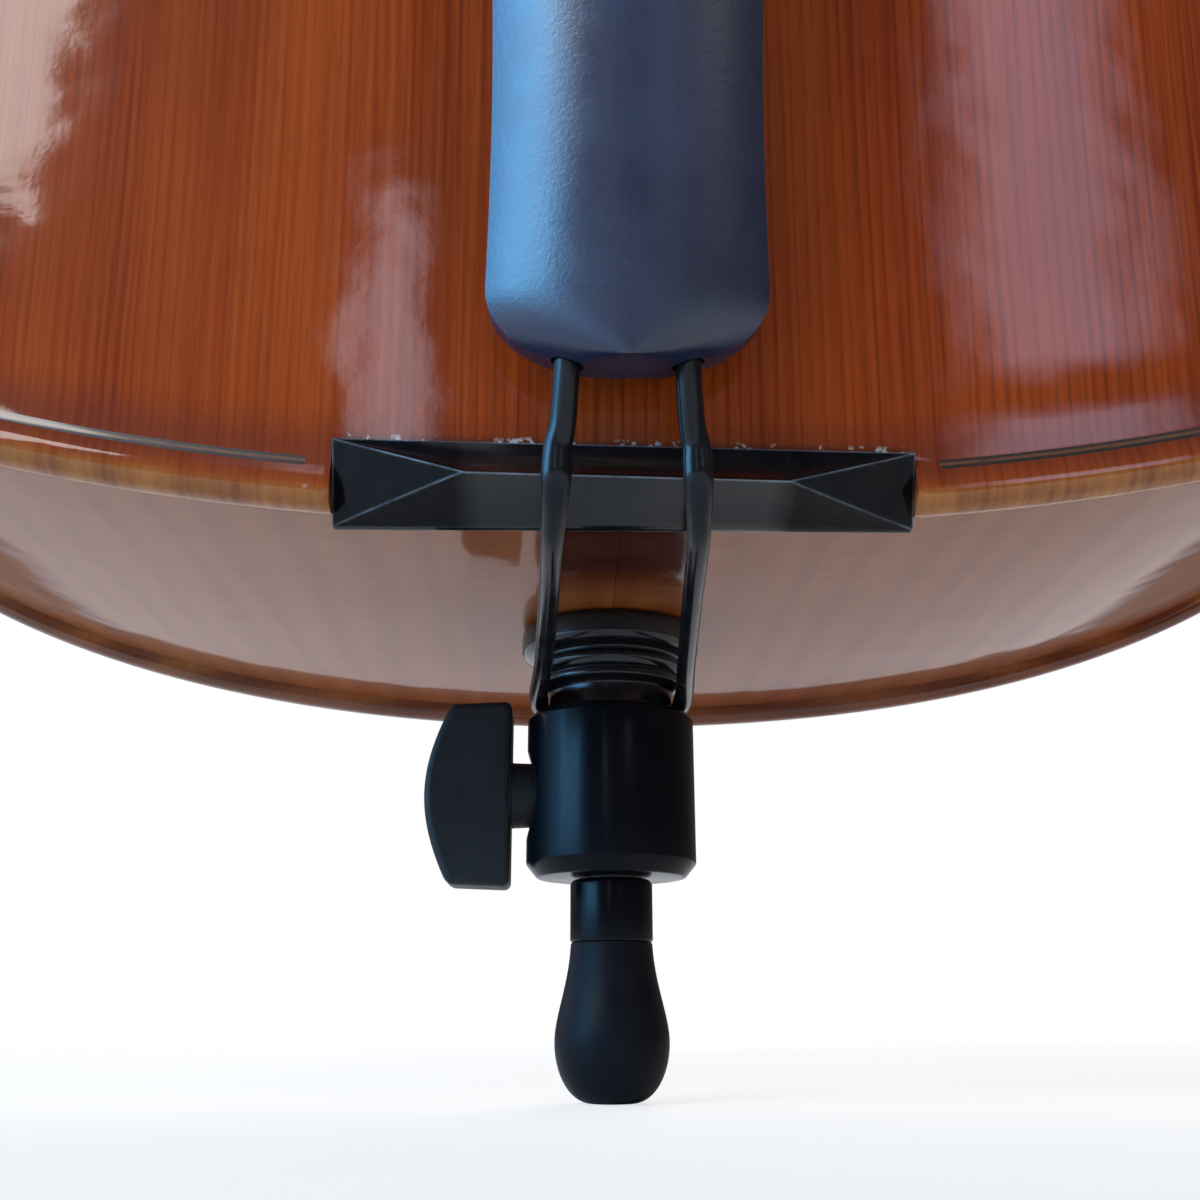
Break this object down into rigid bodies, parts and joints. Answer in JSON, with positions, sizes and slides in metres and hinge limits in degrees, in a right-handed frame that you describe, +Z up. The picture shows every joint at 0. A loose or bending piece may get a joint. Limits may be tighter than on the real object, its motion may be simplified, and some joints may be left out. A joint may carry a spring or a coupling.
{
  "type": "cello",
  "caption": "Full-size cello with varnished body, neck and scroll, strings, tailpiece with fine tuners, and a clamped sliding endpin with a rubber tip.",
  "frame": {"origin": "where the rubber tip rests on the floor, on the endpin's axis, with the endpin retracted", "axes": "+Z up along the instrument towards the scroll, top plate facing -Y, +X on the side of the highest string"},
  "size_m": [0.44, 0.2595, 1.2915],
  "materials": {
    "varnished_spruce": "clear gloss varnish over straight-grained spruce",
    "varnished_maple": "gloss varnish over flamed maple",
    "rib_maple": "gloss varnish over bent flamed maple",
    "raw_softwood": "unfinished",
    "purfling": "inlaid dark strip under varnish",
    "ebony": "polished",
    "bridge_maple": "oiled satin",
    "tailpiece_black": "fine sanded texture",
    "gut_cord": "smooth cord with a soft gloss",
    "brass": "turned",
    "plug_black": "turned and polished",
    "collar_black": "satin black",
    "knob_black": "matte",
    "steel": "brushed",
    "rod_black": "satin black tube",
    "tip_rubber": "soft sheen",
    "string_winding": "flat wound",
    "string_silk": "silk wrapping",
    "tuner_black": "satin black"
  },
  "bodies": {
    "body": {"top_plate": "varnished_spruce", "back_plate": "varnished_maple", "lower_ribs": "rib_maple", "centre_ribs": "rib_maple", "upper_ribs": "rib_maple", "linings": "raw_softwood", "corner_blocks": "raw_softwood", "upper_block": "raw_softwood", "lower_block": "raw_softwood", "bass_bar": "raw_softwood", "sound_post": "raw_softwood", "purfling_top": "purfling", "purfling_back": "purfling", "saddle": "ebony", "tailgut": "gut_cord", "tailgut_nuts": "brass", "tailpiece": "tailpiece_black", "bridge": "bridge_maple", "neck": "varnished_maple", "fingerboard": "ebony", "nut": "ebony", "string_c": "string_winding", "string_g": "string_winding", "string_d": "string_winding", "string_a": "string_winding", "tuner_axle": "steel", "endpin_plug": "plug_black", "endpin_collar": "collar_black"},
    "endpin": {"endpin_rod": "rod_black", "tip_ferrule": "collar_black"},
    "tip": {"tip_rubber": "tip_rubber"},
    "clamp_screw": {"clamp_screw": "steel"},
    "clamp_knob": {"clamp_knob": "knob_black"},
    "peg_c": {"peg_c": "ebony", "coil_c": "string_silk"},
    "tuner_screw_c": {"tuner_screw_c": "steel"},
    "tuner_knob_c": {"tuner_knob_c": "tuner_black"},
    "tuner_lever_c": {"tuner_lever_c": "tuner_black", "string_end_c": "string_silk"},
    "peg_g": {"peg_g": "ebony", "coil_g": "string_silk"},
    "tuner_screw_g": {"tuner_screw_g": "steel"},
    "tuner_knob_g": {"tuner_knob_g": "tuner_black"},
    "tuner_lever_g": {"tuner_lever_g": "tuner_black", "string_end_g": "string_silk"},
    "peg_d": {"peg_d": "ebony", "coil_d": "string_silk"},
    "tuner_screw_d": {"tuner_screw_d": "steel"},
    "tuner_knob_d": {"tuner_knob_d": "tuner_black"},
    "tuner_lever_d": {"tuner_lever_d": "tuner_black", "string_end_d": "string_silk"},
    "peg_a": {"peg_a": "ebony", "coil_a": "string_silk"},
    "tuner_screw_a": {"tuner_screw_a": "steel"},
    "tuner_knob_a": {"tuner_knob_a": "tuner_black"},
    "tuner_lever_a": {"tuner_lever_a": "tuner_black", "string_end_a": "string_silk"}
  },
  "joints": [
    {"name": "endpin_slide", "type": "slide", "parent": "body", "child": "endpin", "axis": [0, 0, -1], "range_m": [0, 0.36]},
    {"name": "tip_pull", "type": "slide", "parent": "endpin", "child": "tip", "axis": [0, 0, -1], "range_m": [0, 0.03]},
    {"name": "clamp_travel", "type": "slide", "parent": "body", "child": "clamp_screw", "axis": [-1, 0, 0], "range_m": [0, 0.002]},
    {"name": "clamp_turn", "type": "hinge", "parent": "clamp_screw", "child": "clamp_knob", "pos_m": [-0.02, 0, 0.0481], "axis": [-1, 0, 0], "range_deg": [0, 720]},
    {"name": "peg_c_turn", "type": "hinge", "parent": "body", "child": "peg_c", "pos_m": [0, -0.0213, 1.13059], "axis": [1, 0, 0], "continuous": true},
    {"name": "peg_g_turn", "type": "hinge", "parent": "body", "child": "peg_g", "pos_m": [0, -0.00146, 1.17435], "axis": [1, 0, 0], "continuous": true},
    {"name": "peg_d_turn", "type": "hinge", "parent": "body", "child": "peg_d", "pos_m": [0, 0.00724, 1.19456], "axis": [1, 0, 0], "continuous": true},
    {"name": "peg_a_turn", "type": "hinge", "parent": "body", "child": "peg_a", "pos_m": [0, -0.01213, 1.15061], "axis": [1, 0, 0], "continuous": true},
    {"name": "tuner_c_travel", "type": "slide", "parent": "body", "child": "tuner_screw_c", "axis": [0, 0.978, 0.2086], "range_m": [0, 0.0025]},
    {"name": "tuner_c_turn", "type": "hinge", "parent": "tuner_screw_c", "child": "tuner_knob_c", "pos_m": [-0.02, -0.11259, 0.28772], "axis": [0, 0.978, 0.2086], "range_deg": [0, 1800]},
    {"name": "tuner_c_lever", "type": "hinge", "parent": "body", "child": "tuner_lever_c", "pos_m": [-0.02, -0.12242, 0.30505], "axis": [1, 0, 0], "range_deg": [0, 7.6]},
    {"name": "tuner_g_travel", "type": "slide", "parent": "body", "child": "tuner_screw_g", "axis": [0, 0.978, 0.2086], "range_m": [0, 0.0025]},
    {"name": "tuner_g_turn", "type": "hinge", "parent": "tuner_screw_g", "child": "tuner_knob_g", "pos_m": [-0.0068, -0.11259, 0.28772], "axis": [0, 0.978, 0.2086], "range_deg": [0, 1800]},
    {"name": "tuner_g_lever", "type": "hinge", "parent": "body", "child": "tuner_lever_g", "pos_m": [-0.0068, -0.12242, 0.30505], "axis": [1, 0, 0], "range_deg": [0, 7.6]},
    {"name": "tuner_d_travel", "type": "slide", "parent": "body", "child": "tuner_screw_d", "axis": [0, 0.978, 0.2086], "range_m": [0, 0.0025]},
    {"name": "tuner_d_turn", "type": "hinge", "parent": "tuner_screw_d", "child": "tuner_knob_d", "pos_m": [0.0068, -0.11259, 0.28772], "axis": [0, 0.978, 0.2086], "range_deg": [0, 1800]},
    {"name": "tuner_d_lever", "type": "hinge", "parent": "body", "child": "tuner_lever_d", "pos_m": [0.0068, -0.12242, 0.30505], "axis": [1, 0, 0], "range_deg": [0, 7.6]},
    {"name": "tuner_a_travel", "type": "slide", "parent": "body", "child": "tuner_screw_a", "axis": [0, 0.978, 0.2086], "range_m": [0, 0.0025]},
    {"name": "tuner_a_turn", "type": "hinge", "parent": "tuner_screw_a", "child": "tuner_knob_a", "pos_m": [0.02, -0.11259, 0.28772], "axis": [0, 0.978, 0.2086], "range_deg": [0, 1800]},
    {"name": "tuner_a_lever", "type": "hinge", "parent": "body", "child": "tuner_lever_a", "pos_m": [0.02, -0.12242, 0.30505], "axis": [1, 0, 0], "range_deg": [0, 7.6]}
  ],
  "couplings": [
    {"joint": "clamp_turn", "follows": "clamp_travel", "rad_per_m": 6283.2},
    {"joint": "tuner_c_turn", "follows": "tuner_c_travel", "rad_per_m": 12566},
    {"joint": "tuner_c_lever", "follows": "tuner_c_travel", "rad_per_m": 52.633},
    {"joint": "tuner_g_turn", "follows": "tuner_g_travel", "rad_per_m": 12566},
    {"joint": "tuner_g_lever", "follows": "tuner_g_travel", "rad_per_m": 52.633},
    {"joint": "tuner_d_turn", "follows": "tuner_d_travel", "rad_per_m": 12566},
    {"joint": "tuner_d_lever", "follows": "tuner_d_travel", "rad_per_m": 52.633},
    {"joint": "tuner_a_turn", "follows": "tuner_a_travel", "rad_per_m": 12566},
    {"joint": "tuner_a_lever", "follows": "tuner_a_travel", "rad_per_m": 52.633}
  ]
}
